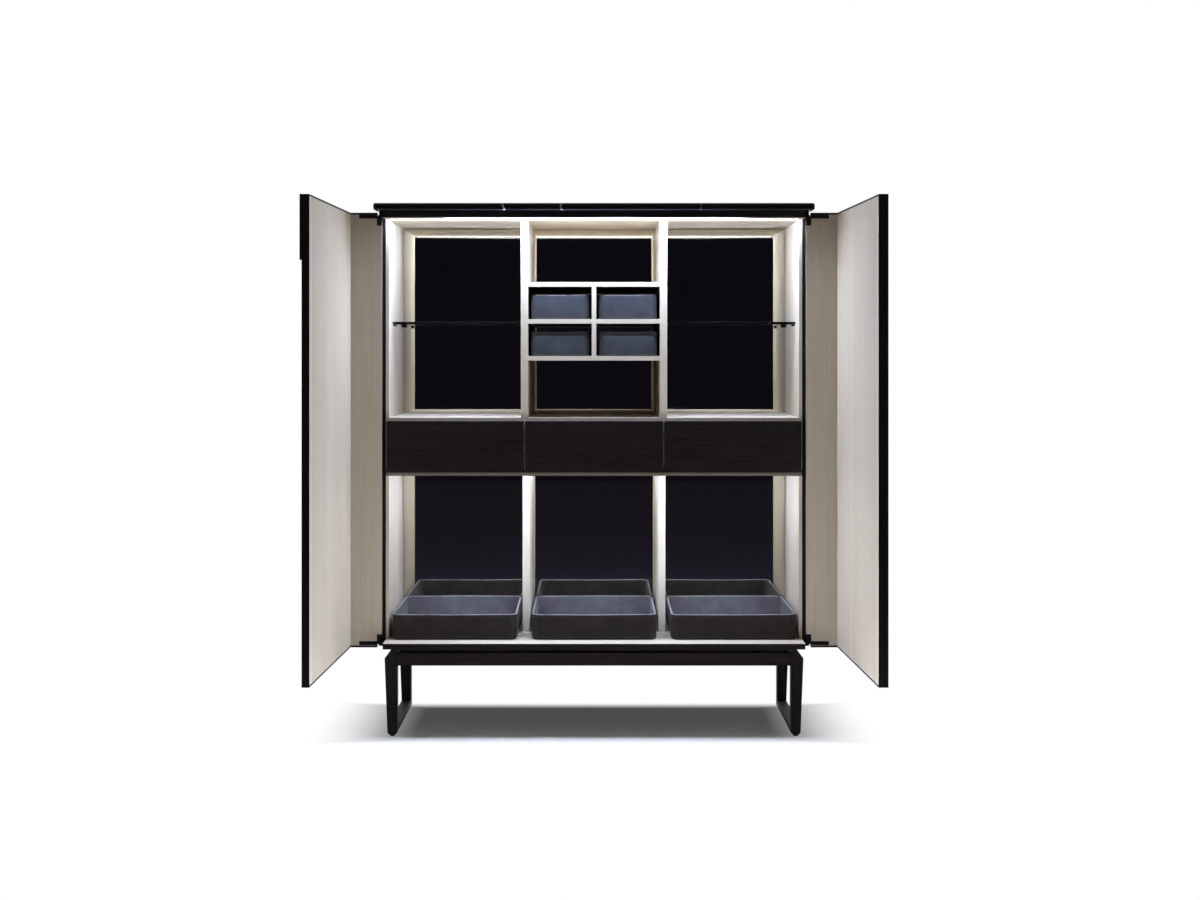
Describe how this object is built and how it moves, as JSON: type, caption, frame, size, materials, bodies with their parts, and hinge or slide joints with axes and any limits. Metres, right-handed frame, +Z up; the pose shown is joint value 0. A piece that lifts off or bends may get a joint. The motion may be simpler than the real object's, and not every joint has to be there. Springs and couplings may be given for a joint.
{
  "type": "cabinet on stand",
  "caption": "Tall cabinet with L-shaped doors on a low sled stand, stone top, lit pale interior with drawers, glass shelves, pigeonholes and pull-out leather trays.",
  "frame": {"origin": "on the floor, at the centre of the stand's footprint", "axes": "+X to the viewer's right, +Y to the cabinet's back, +Z up"},
  "size_m": [1.492, 1.0087, 1.515],
  "materials": {
    "stone": "polished black marble with sparse white veins",
    "dark_wood": "near-black stained oak, satin",
    "pale_wood": "pale greige fine-grained veneer, matt",
    "smoked_mirror": "smoked mirror",
    "smoked_glass": "smoked glass, polished edges",
    "leather": "charcoal saddle leather, soft sheen",
    "black_metal": "black powder coat",
    "pin_steel": "ground steel",
    "profile_metal": "anodised",
    "light_tape": "printed light tape",
    "diffuser": "opal diffuser",
    "driver_case": "moulded case",
    "inlet_rubber": "moulded bush",
    "glide_felt": "soft pad"
  },
  "bodies": {
    "cabinet": {"marble_top": "stone", "top_panel": "dark_wood", "bottom_panel": "dark_wood", "sub_frame": "dark_wood", "left_side_panel": "dark_wood", "right_side_panel": "dark_wood", "left_side_lining": "pale_wood", "right_side_lining": "pale_wood", "back_board": "dark_wood", "upper_mirror": "smoked_mirror", "lower_mirror": "smoked_mirror", "upper_deck": "pale_wood", "lower_deck": "pale_wood", "upper_dividers": "pale_wood", "lower_dividers": "pale_wood", "drawer_partitions": "pale_wood", "cubby_shelves": "pale_wood", "cubby_uprights": "pale_wood", "glass_shelves": "smoked_glass", "shelf_pins": "black_metal", "led_profiles": "profile_metal", "led_tapes": "light_tape", "led_diffusers": "diffuser", "led_driver": "driver_case", "cable_inlet": "inlet_rubber", "front_legs": "dark_wood", "rear_legs": "dark_wood", "floor_runners": "dark_wood", "side_rails": "dark_wood", "front_rail": "dark_wood", "rear_rail": "dark_wood", "foot_glides": "glide_felt", "hinge_plates": "black_metal", "hinge_pins": "pin_steel", "drawer_slide_bars": "pin_steel"},
    "left_door": {"left_door_front": "dark_wood", "left_door_return": "dark_wood", "left_door_lining": "pale_wood", "left_door_return_lining": "pale_wood", "left_door_handle": "dark_wood", "left_door_hinge_leaves": "black_metal"},
    "right_door": {"right_door_front": "dark_wood", "right_door_return": "dark_wood", "right_door_lining": "pale_wood", "right_door_return_lining": "pale_wood", "right_door_pull_strip": "dark_wood", "right_door_hinge_leaves": "black_metal"},
    "left_drawer": {"left_drawer_front": "dark_wood", "left_drawer_box": "pale_wood"},
    "middle_drawer": {"middle_drawer_front": "dark_wood", "middle_drawer_box": "pale_wood"},
    "right_drawer": {"right_drawer_front": "dark_wood", "right_drawer_box": "pale_wood"},
    "left_tray": {"left_tray": "leather"},
    "middle_tray": {"middle_tray": "leather"},
    "right_tray": {"right_tray": "leather"},
    "lower_left_box": {"lower_left_box": "leather"},
    "lower_right_box": {"lower_right_box": "leather"},
    "upper_left_box": {"upper_left_box": "leather"},
    "upper_right_box": {"upper_right_box": "leather"}
  },
  "joints": [
    {"name": "left_door_hinge", "type": "hinge", "parent": "cabinet", "child": "left_door", "pos_m": [-0.618, -0.1285, 0], "axis": [0, 0, -1], "range_deg": [-92, 0]},
    {"name": "right_door_hinge", "type": "hinge", "parent": "cabinet", "child": "right_door", "pos_m": [0.618, -0.1285, 0], "axis": [0, 0, 1], "range_deg": [-92, 0]},
    {"name": "left_drawer_slide", "type": "slide", "parent": "cabinet", "child": "left_drawer", "axis": [0, -1, 0], "range_m": [0, 0.25]},
    {"name": "middle_drawer_slide", "type": "slide", "parent": "cabinet", "child": "middle_drawer", "axis": [0, -1, 0], "range_m": [0, 0.25]},
    {"name": "right_drawer_slide", "type": "slide", "parent": "cabinet", "child": "right_drawer", "axis": [0, -1, 0], "range_m": [0, 0.25]},
    {"name": "left_tray_slide", "type": "slide", "parent": "cabinet", "child": "left_tray", "axis": [0, -1, 0], "range_m": [0, 0.2]},
    {"name": "middle_tray_slide", "type": "slide", "parent": "cabinet", "child": "middle_tray", "axis": [0, -1, 0], "range_m": [0, 0.2]},
    {"name": "right_tray_slide", "type": "slide", "parent": "cabinet", "child": "right_tray", "axis": [0, -1, 0], "range_m": [0, 0.2]},
    {"name": "lower_left_box_slide", "type": "slide", "parent": "cabinet", "child": "lower_left_box", "axis": [0, -1, 0], "range_m": [0, 0.2]},
    {"name": "lower_right_box_slide", "type": "slide", "parent": "cabinet", "child": "lower_right_box", "axis": [0, -1, 0], "range_m": [0, 0.2]},
    {"name": "upper_left_box_slide", "type": "slide", "parent": "cabinet", "child": "upper_left_box", "axis": [0, -1, 0], "range_m": [0, 0.2]},
    {"name": "upper_right_box_slide", "type": "slide", "parent": "cabinet", "child": "upper_right_box", "axis": [0, -1, 0], "range_m": [0, 0.2]}
  ]
}
